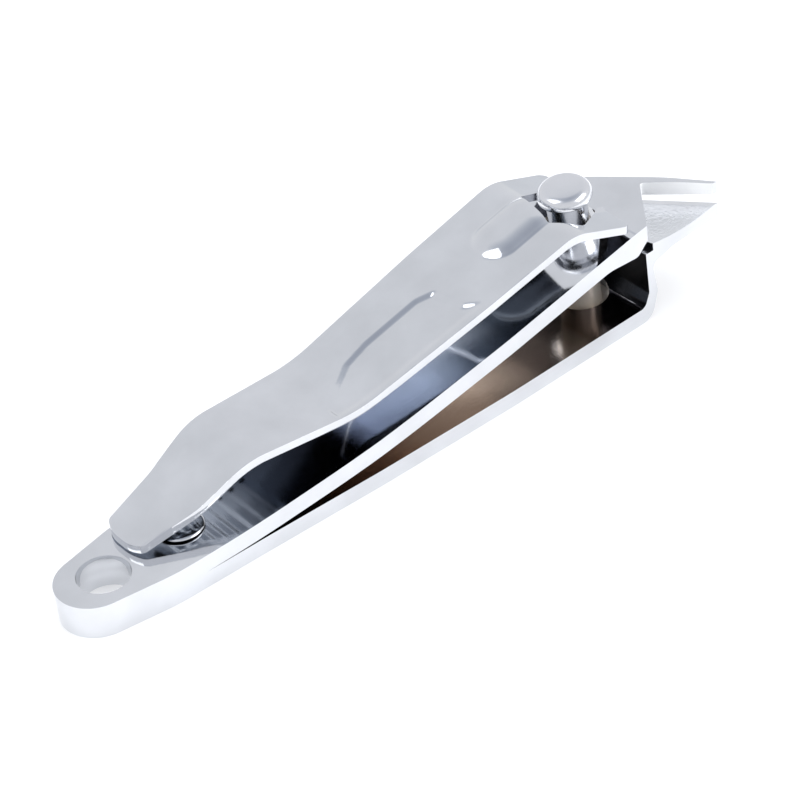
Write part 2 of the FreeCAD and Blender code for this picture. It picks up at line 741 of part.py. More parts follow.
def make_pin(doc, sheet):
    """Button-headed pin with a flange under the lower leaf, leaning towards the tail."""
    body = new_body(doc, "pin")
    sketch = new_sketch(body, "PinProfile", "XZ_Plane")
    length = value("pin_length")
    under_head = length - value("pin_head_thick")
    shank = value("pin_radius")
    head = value("pin_head_radius")
    bevel = value("pin_head_bevel")
    flange = value("pin_flange_radius")
    thick = value("pin_flange_thick")
    add_polygon(sketch, sheet, "pin", [
        (0, 0), (flange, 0), (flange, thick), (shank, thick), (shank, under_head),
        (head, under_head), (head, length - bevel), (head - bevel, length - value("pin_head_dome")),
        (0, length)])
    turn = body.newObject("PartDesign::Revolution", "PinTurned")
    turn.Profile = sketch
    turn.ReferenceAxis = (sketch, ["V_Axis"])
    turn.Angle = 360
    sketch.Visibility = False
    foot = FreeCAD.Vector(value("pin_x"), 0, value("pin_lift"))
    lean = FreeCAD.Rotation(FreeCAD.Vector(0, 1, 0), -value("pin_tilt"))
    body.Placement = FreeCAD.Placement(foot, lean)
    doc.recompute()
    return body


def make_tail_rivet(doc, sheet):
    """Rivet behind the eyelet: foot sunk in the lower leaf, low dome on the upper one."""
    body = new_body(doc, "tail_rivet")
    sketch = new_sketch(body, "RivetProfile", "XZ_Plane")
    foot = value("rivet_foot_radius")
    shank = value("rivet_shank_radius")
    head = value("rivet_head_radius")
    thick = value("rivet_foot_thick")
    under = value("lower_thick") + value("upper_thick") + value("rivet_head_gap")
    crown = under + value("rivet_head_height")
    lift = value("rivet_foot_lift")
    step = value("rivet_head_step")
    add_polygon(sketch, sheet, "rivet", [
        (0, lift), (foot, lift), (foot, thick), (shank, thick), (shank, under), (head, under),
        (head - step, under + step), (head - value("rivet_dome_inset"), crown - value("rivet_dome_rise")),
        (0, crown)])
    turn = body.newObject("PartDesign::Revolution", "RivetTurned")
    turn.Profile = sketch
    turn.ReferenceAxis = (sketch, ["V_Axis"])
    turn.Angle = 360
    sketch.Visibility = False
    body.Placement = FreeCAD.Placement(FreeCAD.Vector(value("rivet_x"), 0, 0), FreeCAD.Rotation())
    doc.recompute()
    return body


def check_document(doc):
    """Stop if any object failed to build or is not valid."""
    for item in doc.Objects:
        shape = getattr(item, "Shape", None)
        broken = "Invalid" in item.State or "Error" in item.State
        if broken or (shape is not None and not shape.isNull() and not shape.isValid()):
            raise RuntimeError("%s did not build: %s" % (item.Name, item.State))


def export_parts(bodies):
    """Write one STEP file for each sub-part, in the shared frame."""
    os.makedirs("parts", exist_ok=True)
    for body in bodies:
        body.Shape.exportStep("parts/%s.step" % body.Label)


def main():
    """Build every sub-part and write it out."""
    doc = FreeCAD.newDocument(NAME)
    sheet = make_sheet(doc)
    doc.recompute()
    makers = (make_lower_leaf, make_upper_leaf, make_tail_rivet, make_pin, make_lever)
    bodies = [maker(doc, sheet) for maker in makers]
    doc.recompute()
    check_document(doc)
    export_parts(bodies)
    for body in bodies:
        box = body.Shape.BoundBox
        print("%s solids=%d volume=%.1f box=%.2f..%.2f %.2f..%.2f %.2f..%.2f" % (
            body.Label, len(body.Shape.Solids), body.Shape.Volume, box.XMin, box.XMax,
            box.YMin, box.YMax, box.ZMin, box.ZMax))


main()
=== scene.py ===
import math

import bmesh
import bpy
from mathutils import Matrix, Vector


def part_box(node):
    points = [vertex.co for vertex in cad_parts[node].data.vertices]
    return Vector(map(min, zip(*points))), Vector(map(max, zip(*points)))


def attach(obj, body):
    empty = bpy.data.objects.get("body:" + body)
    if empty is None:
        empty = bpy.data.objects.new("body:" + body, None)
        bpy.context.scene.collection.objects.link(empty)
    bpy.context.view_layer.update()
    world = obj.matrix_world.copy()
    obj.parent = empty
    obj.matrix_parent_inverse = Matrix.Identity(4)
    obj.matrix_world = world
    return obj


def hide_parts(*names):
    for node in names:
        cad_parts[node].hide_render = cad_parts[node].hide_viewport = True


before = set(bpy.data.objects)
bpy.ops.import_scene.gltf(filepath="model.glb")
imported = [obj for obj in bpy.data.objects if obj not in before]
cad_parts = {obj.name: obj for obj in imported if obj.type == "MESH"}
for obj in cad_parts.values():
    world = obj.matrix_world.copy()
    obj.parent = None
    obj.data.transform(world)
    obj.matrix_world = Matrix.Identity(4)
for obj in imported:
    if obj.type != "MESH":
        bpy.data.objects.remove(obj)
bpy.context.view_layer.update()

MM = 0.001
LEAF_LOW, LEAF_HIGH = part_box("lower_leaf")
HALF = LEAF_HIGH[0] / MM
SIDE = LEAF_HIGH[1] / MM

LEAF_THICK = 1.82
LOWER_EDGE = 9.1
UPPER_EDGE = 10.45
SLANT_FAR_X = 29.85
RELIEF_NEAR_X = 30.4
RELIEF_FAR_X = 28.9
EYELET_X = -35.05
EYELET_RADIUS = 2.7
RIVET_X = -25.9
PIN_X = 26.78
PIN_Z = 0.36
PIN_LEAN = math.radians(5.0)


# ---------------------------------------------------------------- outlines, in millimetres

def rounded(corners, radii, step=math.radians(4)):
    """Closed outline of corners, with an arc at each corner that has a radius."""
    points = []
    count = len(corners)
    for number, corner in enumerate(corners):
        radius = radii.get(number, 0)
        here = Vector(corner)
        before = (here - Vector(corners[number - 1])).normalized()
        after = (Vector(corners[(number + 1) % count]) - here).normalized()
        turn = before.angle(after)
        if radius == 0 or turn < 1e-4:
            points.append(here)
            continue
        reach = radius * math.tan(turn / 2)
        centre = here + (after - before).normalized() * (radius / math.cos(turn / 2))
        pieces = max(2, math.ceil(turn / step))
        start = here - before * reach - centre
        sign = 1 if before.x * after.y - before.y * after.x > 0 else -1
        for piece in range(pieces + 1):
            points.append(centre + Matrix.Rotation(sign * turn * piece / pieces, 2) @ start)
    return points


def thicken(path, thickness):
    """Mitred upper corners of a bent strip, for its lower corners."""
    normals = []
    for start, end in zip(path, path[1:]):
        run = (Vector(end) - Vector(start)).normalized()
        normals.append(Vector((-run.y, run.x)))
    upper = []
    for number, corner in enumerate(path):
        before = normals[max(number - 1, 0)]
        after = normals[min(number, len(normals) - 1)]
        upper.append(tuple(Vector(corner) + thickness * (before + after) / (1 + before.dot(after))))
    return upper


def mirrored(half):
    """Closed outline from its far half, which runs from the tail to the jaws."""
    return list(half) + [(across, -up) for across, up in reversed(half)]


# ---------------------------------------------------------------- solids, in millimetres

def new_object(name, mesh):
    """Object for a mesh, linked to the scene."""
    piece = bpy.data.objects.new(name, mesh)
    bpy.context.scene.collection.objects.link(piece)
    return piece


def prism(name, outline, plane, low, high):
    """Straight prism of an outline: plane is XZ (extruded along Y) or XY (along Z)."""
    mesh = bpy.data.meshes.new(name)
    build = bmesh.new()
    place = {"XZ": lambda point, level: (point.x, level, point.y),
             "XY": lambda point, level: (point.x, point.y, level)}[plane]
    rings = [[build.verts.new(place(point, level)) for point in outline] for level in (low, high)]
    build.faces.new(rings[0])
    build.faces.new(reversed(rings[1]))
    count = len(outline)
    for step in range(count):
        nxt = (step + 1) % count
        build.faces.new((rings[0][nxt], rings[0][step], rings[1][step], rings[1][nxt]))
    bmesh.ops.recalc_face_normals(build, faces=build.faces)
    build.to_mesh(mesh)
    build.free()
    return new_object(name, mesh)


def rod(name, radius, foot, top, segments=96):
    """Round tool between two points."""
    build = bmesh.new()
    foot, top = Vector(foot), Vector(top)
    length = (top - foot).length
    bmesh.ops.create_cone(build, cap_ends=True, segments=segments, radius1=radius, radius2=radius,
                          depth=length)
    turn = (top - foot).to_track_quat("Z", "Y").to_matrix().to_4x4()
    build.transform(Matrix.Translation((foot + top) / 2) @ turn)
    mesh = bpy.data.meshes.new(name)
    build.to_mesh(mesh)
    build.free()
    return new_object(name, mesh)


def bake(piece):
    """Apply every modifier of a piece."""
    graph = bpy.context.evaluated_depsgraph_get()
    mesh = bpy.data.meshes.new_from_object(piece.evaluated_get(graph))
    piece.modifiers.clear()
    old = piece.data
    piece.data = mesh
    bpy.data.meshes.remove(old)


def carve(piece, tool, operation="DIFFERENCE"):
    """Boolean of a piece with a tool, which is used up."""
    change = piece.modifiers.new("cut", "BOOLEAN")
    change.operation = operation
    change.solver = "EXACT"
    change.object = tool
    bpy.context.view_layer.update()
    bake(piece)
    bpy.data.objects.remove(tool)


def soften(piece, width, weight, angle=math.radians(26), segments=3):
    """Round the sharp edges. weight(middle) from 0 to 1 scales the width at an edge."""
    build = bmesh.new()
    build.from_mesh(piece.data)
    bmesh.ops.remove_doubles(build, verts=build.verts, dist=2e-4)
    bmesh.ops.dissolve_degenerate(build, edges=build.edges, dist=1e-4)
    layers = build.edges.layers.float
    layer = layers.get("bevel_weight_edge") or layers.new("bevel_weight_edge")
    for edge in build.edges:
        sharp = len(edge.link_faces) == 2 and edge.calc_face_angle(0) > angle
        edge[layer] = weight((edge.verts[0].co + edge.verts[1].co) / 2) if sharp else 0
    build.to_mesh(piece.data)
    build.free()
    bevel = piece.modifiers.new("soften", "BEVEL")
    bevel.limit_method = "WEIGHT"
    bevel.width = width
    bevel.segments = segments
    bevel.use_clamp_overlap = True
    bake(piece)


def grid_cuts(piece, xs, ys):
    """Cut a piece's faces along planes of constant x and y, so that it can be pressed."""
    build = bmesh.new()
    build.from_mesh(piece.data)
    for level, axis in [(x, Vector((1, 0, 0))) for x in xs] + [(y, Vector((0, 1, 0))) for y in ys]:
        geometry = build.verts[:] + build.edges[:] + build.faces[:]
        bmesh.ops.bisect_plane(build, geom=geometry, dist=1e-5, plane_co=axis * level, plane_no=axis)
    build.to_mesh(piece.data)
    build.free()


def finish_piece(piece, materials, body, nodes, smooth=32):
    """Scale to metres, shade, and tell the frame what the piece stands for."""
    mesh = piece.data
    mesh.transform(Matrix.Scale(MM, 4))
    for material in materials:
        mesh.materials.append(material)
    for face in mesh.polygons:
        face.use_smooth = True
    mesh.set_sharp_from_angle(angle=math.radians(smooth))
    weighted = piece.modifiers.new("flat faces", "WEIGHTED_NORMAL")
    weighted.keep_sharp = True
    weighted.weight = 60
    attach(piece, body)
    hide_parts(*nodes)


# ---------------------------------------------------------------- materials

def shade_along(nodes, links, place, shades):
    """Painted reflections and shade: colour that changes along the clipper, from (x in millimetres, colour)
    stops.
    """
    first, last = shades[0][0], shades[-1][0]
    split = nodes.new("ShaderNodeSeparateXYZ")
    links.new(place.outputs["Object"], split.inputs["Vector"])
    along = nodes.new("ShaderNodeMapRange")
    along.inputs["From Min"].default_value = first * MM
    along.inputs["From Max"].default_value = last * MM
    links.new(split.outputs["X"], along.inputs["Value"])
    ramp = nodes.new("ShaderNodeValToRGB")
    ramp.color_ramp.elements[0].color = (*shades[0][1], 1)
    ramp.color_ramp.elements[1].color = (*shades[-1][1], 1)
    for place_x, colour in shades[1:-1]:
        stop = ramp.color_ramp.elements.new((place_x - first) / (last - first))
        stop.color = (*colour, 1)
    links.new(along.outputs["Result"], ramp.inputs["Fac"])
    return ramp.outputs["Color"]


def uneven_tint(nodes, links, place, tint):
    """Tint that is a little darker in soft patches."""
    cloud = nodes.new("ShaderNodeTexNoise")
    cloud.inputs["Scale"].default_value = 160
    cloud.inputs["Detail"].default_value = 4
    links.new(place.outputs["Object"], cloud.inputs["Vector"])
    colours = nodes.new("ShaderNodeValToRGB")
    colours.color_ramp.elements[0].position = 0.3
    colours.color_ramp.elements[0].color = (*[channel * 0.9 for channel in tint], 1)
    colours.color_ramp.elements[1].position = 0.65
    colours.color_ramp.elements[1].color = (*tint, 1)
    links.new(cloud.outputs["Fac"], colours.inputs["Fac"])
    return colours.outputs["Color"]


def metal(name, rough, scratch, blotch, tint=None, shades=None, grain=0.0, metallic=1.0):
    """Polished or ground metal: one tint, or painted reflections and shade as colours along x, scratches,
    uneven polish and grain.
    """
    material = bpy.data.materials.new(name)
    material.use_nodes = True
    nodes, links = material.node_tree.nodes, material.node_tree.links
    shader = nodes["Principled BSDF"]
    shader.inputs["Metallic"].default_value = metallic
    place = nodes.new("ShaderNodeTexCoord")

    base = shade_along(nodes, links, place, shades) if shades else uneven_tint(nodes, links, place, tint)
    links.new(base, shader.inputs["Base Color"])

    stretch = nodes.new("ShaderNodeMapping")
    stretch.inputs["Scale"].default_value = (500, 9000, 9000)
    links.new(place.outputs["Object"], stretch.inputs["Vector"])
    hair = nodes.new("ShaderNodeTexNoise")
    hair.inputs["Scale"].default_value = 1.0
    hair.inputs["Detail"].default_value = 5
    links.new(stretch.outputs["Vector"], hair.inputs["Vector"])

    polish = nodes.new("ShaderNodeMapRange")
    polish.inputs["From Min"].default_value = 0.3
    polish.inputs["From Max"].default_value = 0.7
    polish.inputs["To Min"].default_value = rough
    polish.inputs["To Max"].default_value = rough + blotch
    links.new(hair.outputs["Fac"], polish.inputs["Value"])
    links.new(polish.outputs["Result"], shader.inputs["Roughness"])

    bump = nodes.new("ShaderNodeBump")
    bump.inputs["Strength"].default_value = scratch
    bump.inputs["Distance"].default_value = 0.0001
    links.new(hair.outputs["Fac"], bump.inputs["Height"])
    last = bump
    if grain > 0:
        pits = nodes.new("ShaderNodeTexNoise")
        pits.inputs["Scale"].default_value = 2600
        pits.inputs["Detail"].default_value = 3
        links.new(place.outputs["Object"], pits.inputs["Vector"])
        coarse = nodes.new("ShaderNodeBump")
        coarse.inputs["Strength"].default_value = grain
        coarse.inputs["Distance"].default_value = 0.0002
        links.new(pits.outputs["Fac"], coarse.inputs["Height"])
        links.new(bump.outputs["Normal"], coarse.inputs["Normal"])
        last = coarse
    links.new(last.outputs["Normal"], shader.inputs["Normal"])
    return material


CHROME = metal("polished chrome", 0.055, scratch=0.015, blotch=0.05, tint=(0.765, 0.78, 0.81))
NICKEL = metal("warm nickel", 0.22, scratch=0.008, blotch=0.04, tint=(0.90, 0.82, 0.73), metallic=0.55)
BUTTON = metal("soft chrome", 0.17, scratch=0.01, blotch=0.04, tint=(0.79, 0.80, 0.83))
JAW_WALL = metal("ground jaw wall", 0.35, scratch=0.04, blotch=0.06, tint=(0.93, 0.94, 0.95), metallic=0.4)
# Painted shade: a near-black colour for recess faces where shade falls.
PAINTED_SHADE = metal("painted shade in recesses", 0.25, scratch=0.04, blotch=0.10, tint=(0.035, 0.04, 0.05))
GROUND = metal("ground steel", 0.12, scratch=0.05, blotch=0.10, tint=(0.86, 0.87, 0.89), grain=0.22)
# Painted reflections and shade: dark and light bands along the lever's underside stand in for what it
# reflects.
UNDERSIDE_PAINTED_REFLECTIONS = metal("lever underside, painted reflections and shade", 0.12, scratch=0.05, blotch=0.08, shades=(
    (-31, (0.42, 0.45, 0.50)), (-20, (0.30, 0.33, 0.38)), (-16, (0.04, 0.05, 0.07)),
    (-7, (0.01, 0.01, 0.015)), (-4, (0.55, 0.60, 0.72)), (7, (0.80, 0.86, 0.96)),
    (13, (0.10, 0.12, 0.15)), (28, (0.05, 0.05, 0.06))))
# Painted reflections and shade: warm light and dark bands along the upper leaf's underside over the gap.
GAP_ROOF_PAINTED_REFLECTIONS = metal("leaf underside, painted reflections and shade", 0.12, scratch=0.04, blotch=0.08, shades=(
    (-27, (0.30, 0.22, 0.18)), (-4, (0.20, 0.13, 0.10)), (12, (0.62, 0.52, 0.45)), (20, (0.06, 0.045, 0.04)),
    (29, (0.02, 0.02, 0.025))))
# Warm nickel of the lower leaf's inside, with painted reflections and painted shade darkening it towards the
# pin and nose.
NICKEL_FLOOR_PAINTED_REFLECTIONS = metal("leaf inside, painted reflections and shade", 0.10, scratch=0.04, blotch=0.06, shades=(
    (-14, (0.62, 0.56, 0.50)), (14, (0.66, 0.60, 0.55)), (18, (0.50, 0.44, 0.39)), (22, (0.08, 0.06, 0.05)),
    (30, (0.06, 0.06, 0.07))))


# ---------------------------------------------------------------- the two leaves

def leaf_plan():
    """Plan outline of a leaf: round tail, flared sides, slanted front edge."""
    radius = 4.0
    centre = radius - HALF
    corner = Vector((-30.4, 5.05))
    reach = math.hypot(corner.x - centre, corner.y)
    opening = math.atan2(corner.y, corner.x - centre) + math.acos(radius / reach)
    tail = []
    for step in range(41):
        angle = opening + (2 * math.pi - 2 * opening) * step / 40
        tail.append(Vector((centre + radius * math.cos(angle), radius * math.sin(angle))))
    near = [(-30.4, -5.05), (-20.1, -5.5), (-6.1, -6.27), (11.0, -SIDE), (HALF, -SIDE)]
    far = [(SLANT_FAR_X, SIDE), (11.0, SIDE), (-6.1, 6.27), (-20.1, 5.5), (-30.4, 5.05)]
    sides = rounded([tuple(tail[-1])] + near + far + [tuple(tail[0])],
                    {1: 20.0, 2: 60.0, 3: 90.0, 4: 90.0, 7: 90.0, 8: 90.0, 9: 60.0, 10: 20.0},
                    step=math.radians(1.0))
    return tail + sides[1:-1]


def pin_place(radius, height):
    """Point at a radius and a height in the leaning pin's own directions."""
    return Vector((PIN_X + radius * math.cos(PIN_LEAN) - height * math.sin(PIN_LEAN), 0,
                   PIN_Z + radius * math.sin(PIN_LEAN) + height * math.cos(PIN_LEAN)))


def jaw_weight(middle):
    """Edges get a small radius at the jaws and a full one elsewhere."""
    if middle.x > 31.5 and middle.y < -6 and 6.9 < middle.z < 8.0:
        return 0.55
    if middle.x + 0.75 * middle.y > 34.2 and middle.z > 6:
        return 0.12
    if middle.x > 30.0 and middle.z > 7.0:
        return 0.35
    return 1.0


def paint(piece, materials, rule):
    """Give each face the one of the materials that rule(centre, normal) says."""
    for face in piece.data.polygons:
        face.material_index = materials.index(rule(face.center, face.normal))


def make_lower_leaf():
    """Lower leaf with its nose, jaw plate, ground hollow, holes and recesses."""
    profile = [(-HALF - 1, 0), (30.1, 0), (31.1, 3.0), (30.55, 6.6), (33.6, 7.3), (HALF + 1, 7.6),
               (HALF + 1, LOWER_EDGE), (29.75, LOWER_EDGE), (29.9, 3.4), (29.2, LEAF_THICK),
               (-HALF - 1, LEAF_THICK)]
    radii = {1: 1.8, 2: 1.8, 3: 0.9, 8: 0.9, 9: 0.9}
    piece = prism("lower_leaf_plate", rounded(profile, radii), "XZ", -SIDE - 1, SIDE + 1)
    grind_radius, grind_depth, grind_back = 14.0, 0.45, 4.1
    along = Vector((HALF - SLANT_FAR_X, -2 * SIDE, 0)).normalized()
    back = Vector((along.y, -along.x, 0))
    grind_height = LOWER_EDGE + grind_radius - grind_depth
    middle = Vector(((HALF + SLANT_FAR_X) / 2, 0, grind_height)) + back * grind_back
    carve(piece, rod("grind", grind_radius, middle - along * 30, middle + along * 30, 480))
    near, far = Vector((RELIEF_NEAR_X, -SIDE)), Vector((RELIEF_FAR_X, SIDE))
    turn = math.atan2(near.x - far.x, far.y - near.y)
    relief_plan = [Vector(corner) for corner in ((-2.6, -15), (0.4, -15), (0.4, 15), (-2.6, 15))]
    relief = prism("relief", relief_plan, "XY", 8.2, 30)
    relief.data.transform(Matrix.Translation((near.x, near.y, 0)) @ Matrix.Rotation(turn, 4, "Z"))
    carve(piece, relief)
    carve(piece, prism("plan", leaf_plan(), "XY", -2, 20), "INTERSECT")
    carve(piece, rod("eyelet", EYELET_RADIUS, (EYELET_X, 0, -2), (EYELET_X, 0, 4)))
    carve(piece, rod("rivet hole", 1.42, (RIVET_X, 0, -2), (RIVET_X, 0, 4), 48))
    carve(piece, rod("rivet recess", 2.22, (RIVET_X, 0, -2), (RIVET_X, 0, 0.52), 64))
    carve(piece, rod("pin bore", 2.85, pin_place(0, -2), pin_place(0, 3)))
    carve(piece, rod("pin recess", 3.13, pin_place(0, -3), pin_place(0, 0.68)))
    soften(piece, 0.32, jaw_weight)

    def rule(centre, normal):
        if centre.z > 6.6 and centre.x > 29.0 and normal.z > 0.5:
            return GROUND
        # Inside top: warm nickel with painted reflections and shade.
        if abs(centre.z - LEAF_THICK) < 0.05 and normal.z > 0.9 and centre.x > -14:
            return NICKEL_FLOOR_PAINTED_REFLECTIONS
        # Painted shade: the nose's inner wall and the downward faces in the jaw relief are near-black.
        if 28.5 < centre.x < 31 and normal.x < -0.4 and 1.8 < centre.z < 9:
            return PAINTED_SHADE
        if centre.x > 31.0 and normal.z < -0.2 and centre.z > 7:
            return PAINTED_SHADE
        return CHROME

    materials = (CHROME, NICKEL_FLOOR_PAINTED_REFLECTIONS, GROUND, PAINTED_SHADE)
    paint(piece, materials, rule)
    finish_piece(piece, materials, "base", ["lower_leaf"])


def make_upper_leaf():
    """Upper leaf: riveted tail, long rise, jaw with its beak and notch."""
    path = [(-HALF - 1, LEAF_THICK), (-27.1, LEAF_THICK), (-20.6, 1.99), (-5.5, 3.4), (24.9, 8.81)]
    top = thicken(path, 1.87)
    jaw = [(28.7, 8.5), (30.3, 9.95), (30.3, UPPER_EDGE), (HALF + 1, UPPER_EDGE), (HALF + 1, 11.65),
           (36.8, 12.05), (33.0, 11.85), (30.2, 11.6), (28.6, 11.38)]
    corners = path + jaw + top[::-1]
    last = len(corners)
    radii = {2: 100.0, 3: 180.0, 4: 6.0, 5: 0.9, 10: 10.0, 11: 20.0, 12: 12.0, 13: 8.0,
             last - 5: 12.0, last - 4: 180.0, last - 3: 100.0}
    outline = rounded(corners, radii, step=math.radians(0.6))
    piece = prism("upper_leaf_plate", outline, "XZ", -SIDE - 1, SIDE + 1)
    relief = [(RELIEF_NEAR_X, -7.5), (60, -7.5), (60, 7.5), (RELIEF_FAR_X, 7.5)]
    carve(piece, prism("jaw relief", [Vector(corner) for corner in relief], "XY", 0, UPPER_EDGE))
    carve(piece, prism("plan", leaf_plan(), "XY", -2, 20), "INTERSECT")
    notch = rounded([(29.29, -7.9), (HALF + 0.36, -7.9), (34.6, -1.2)], {2: 0.35})
    carve(piece, prism("notch", notch, "XY", 0, 20))
    carve(piece, rod("eyelet", EYELET_RADIUS, (EYELET_X, 0, 0), (EYELET_X, 0, 6)))
    carve(piece, rod("rivet hole", 1.5, (RIVET_X, 0, 0), (RIVET_X, 0, 6), 48))
    carve(piece, rod("pin bore", 3.0, pin_place(0, 4), pin_place(0, 14)))
    soften(piece, 0.34, jaw_weight)

    def rule(centre, normal):
        if centre.x > 28.5 and normal.z < -0.5:
            return GROUND
        # Underside over the gap: painted reflections and shade.
        if normal.z < -0.9:
            return GAP_ROOF_PAINTED_REFLECTIONS
        if centre.x > 31.5 and centre.y > -6.7 and normal.y < -0.4:
            return JAW_WALL
        return CHROME

    materials = (CHROME, GAP_ROOF_PAINTED_REFLECTIONS, GROUND, JAW_WALL)
    paint(piece, materials, rule)
    finish_piece(piece, materials, "top_leaf", ["upper_leaf"])


# ---------------------------------------------------------------- the lever

LEVER_PATH = [(-32.5, 3.62), (-24.5, 5.75), (-19.0, 8.45), (-6.2, 7.65), (21.2, 14.38), (28.3, 11.8)]
LEVER_THICK = 0.85
LEVER_TURN = math.radians(-1.9)
BEAD_END_X = 16.6
BEAD_REACH = 2.7
BEAD_SIDE = 2.8
BEAD_LIFT = 0.55
PANEL_SINK = 0.20
FILE_START = -27.6
FILE_LENGTH = 12.2
FILE_RIDGES = 9
FILE_SIDE = 3.2
FILE_LIFT = 0.22
PANEL = [(-8.4, -5.6), (-8.2, -3.4), (-5.3, -1.0), (-3.2, 0.3), (-0.2, 0.8), (6.3, 0.8), (8.0, 0.1),
         (8.4, -2.0), (8.6, -3.8), (10.0, -5.6)]


def segment_distance(point, start, end):
    """Distance in plan from a point to a straight stretch."""
    run = end - start
    share = max(0.0, min(1.0, (point - start).dot(run) / run.length_squared))
    return (point - start - run * share).length


def panel_depth(x, y):
    """How far inside the pressed thumb panel a place is, negative outside."""
    point = Vector((x, y))
    corners = [Vector(corner) for corner in PANEL]
    nearest = min(segment_distance(point, start, end) for start, end in zip(corners, corners[1:]))
    inside = False
    for start, end in zip(corners, corners[1:] + corners[:1]):
        if (start.y > y) != (end.y > y):
            crossing = start.x + (y - start.y) / (end.y - start.y) * (end.x - start.x)
            inside = inside != (x < crossing)
    return nearest if inside else -nearest


def ease(value):
    """Smooth step from 0 to 1."""
    value = max(0.0, min(1.0, value))
    return value * value * (3 - 2 * value)


def press(x, y):
    """Height of the pressed bead and thumb panel above the plain lever."""
    lift = 0.0
    if x > 13.5:
        along = max(0.0, (BEAD_END_X - x) / BEAD_REACH)
        reach = math.hypot(along, y / BEAD_SIDE)
        if reach < 1.0:
            lift += BEAD_LIFT * (1 - reach ** 3.5)
    if -9.5 < x < 11 and y < 2:
        side = 0.0331 * x + 5.6 + y
        lift -= PANEL_SINK * ease((panel_depth(x, y) + 0.22) / 0.44) * ease((side - 0.15) / 1.1)
    return lift


def make_lever():
    """Lever: bent strip with a forked front, pressed bead and panel, and a filed underside."""
    top = thicken(LEVER_PATH, LEVER_THICK)
    bends = (8.0, 8.0, 16.0, 5.0, 0.35)
    radii = dict(enumerate(bends, start=1))
    radii.update(dict(enumerate(bends[::-1], start=len(LEVER_PATH))))
    outline = rounded(LEVER_PATH + top[::-1], radii, step=math.radians(1.5))
    piece = prism("lever_strip", outline, "XZ", -SIDE - 1, SIDE + 1)
    half = [(-31.5, 1.4), (-30.8, 2.85), (-22.1, 4.4), (-6.1, 5.45), (9.9, 6.28), (28.6, 6.7)]
    sides = (4.0, 0.8, 60.0, 60.0, 60.0, 1.3)
    plan = rounded(mirrored(half), dict(enumerate(sides + sides[::-1])), step=math.radians(2))
    carve(piece, prism("plan", plan, "XY", -2, 30), "INTERSECT")
    slot = [(21.9, 2.8), (25.2, 3.1), (27.6, 2.35), (30, 2.35), (30, -2.35), (27.6, -2.35), (23.6, -5.05),
            (20.9, -2.75)]
    radii = {0: 0.5, 1: 0.5, 2: 0.5, 5: 0.5, 6: 0.5, 7: 0.5}
    carve(piece, prism("slot", rounded(slot, radii), "XY", 0, 30))
    soften(piece, 0.26, lambda middle: 1.0)
    file_steps = [FILE_START + 0.16 * step for step in range(78)]
    plain_steps = [-15 + 0.3 * step for step in range(92)] + [12.7 + 0.2 * step for step in range(45)]
    grid_cuts(piece, file_steps + plain_steps, [-6.4 + 0.2 * step for step in range(65)])
    pitch = FILE_LENGTH / FILE_RIDGES
    for vertex, normal in [(vertex, vertex.normal.copy()) for vertex in piece.data.vertices]:
        spot = vertex.co
        spot.z += press(spot.x, spot.y)
        if normal.z < -0.6 and -27.7 < spot.x < -15.3 and abs(spot.y) < FILE_SIDE:
            fade = ease((FILE_SIDE - abs(spot.y)) / 0.3)
            wave = abs(((spot.x - FILE_START) / pitch) % 1.0 - 0.5) * 2
            spot.z += FILE_LIFT * fade * (1 - wave)
    materials = (CHROME, UNDERSIDE_PAINTED_REFLECTIONS)
    # Underside: painted reflections and shade along the lever.
    paint(piece, materials, lambda centre, normal: UNDERSIDE_PAINTED_REFLECTIONS if normal.z < -0.6 else CHROME)
    foot, top = pin_place(0, 0), pin_place(0, 1)
    spin = Matrix.Rotation(LEVER_TURN, 4, top - foot)
    piece.data.transform(Matrix.Translation(foot) @ spin @ Matrix.Translation(-foot))
    finish_piece(piece, materials, "thumb_lever", ["lever"], smooth=38)


# ---------------------------------------------------------------- turned parts

def turned(name, outline, base, lean, segments=128):
    """Body of revolution of a (radius, height) outline that starts and ends on the axis."""
    build = bmesh.new()
    rings = []
    for radius, height in outline:
        if radius < 1e-6:
            rings.append([build.verts.new((0, 0, height))])
            continue
        rings.append([build.verts.new((radius * math.cos(2 * math.pi * step / segments),
                                       radius * math.sin(2 * math.pi * step / segments), height))
                      for step in range(segments)])
    for lower, upper in zip(rings, rings[1:]):
        for step in range(segments):
            nxt = (step + 1) % segments
            face = [lower[step % len(lower)], lower[nxt % len(lower)],
                    upper[nxt % len(upper)], upper[step % len(upper)]]
            unique = list(dict.fromkeys(face))
            if len(unique) > 2:
                build.faces.new(unique)
    bmesh.ops.recalc_face_normals(build, faces=build.faces)
    build.transform(Matrix.Translation(base) @ Matrix.Rotation(-lean, 4, "Y"))
    mesh = bpy.data.meshes.new(name)
    build.to_mesh(mesh)
    build.free()
    return new_object(name, mesh)


def make_pin():
    """Button-headed pin with its foot flange."""
    length, flange, shank, head = 15.8, 3.05, 2.1, 2.85
    flange_top, bright_from, under_head = 0.6, length - 4.4, length - 1.5
    corners = [(0, 0), (flange, 0), (flange, flange_top), (shank, flange_top), (shank, bright_from),
               (shank, under_head), (head, under_head), (head, length - 0.3), (0, length)]
    outline = rounded(corners, {1: 0.12, 2: 0.12, 3: 0.1, 5: 0.1, 6: 0.15, 7: 1.1}, step=math.radians(6))
    outline = [(0, 0)] + [tuple(point) for point in outline[1:-1]] + [(0, length)]
    piece = turned("pin_turned", outline, pin_place(0, 0), PIN_LEAN)
    materials = (NICKEL, BUTTON)
    paint(piece, materials, lambda centre, normal: BUTTON if centre.z > 11.2 else NICKEL)
    finish_piece(piece, materials, "turning_pin", ["pin"])


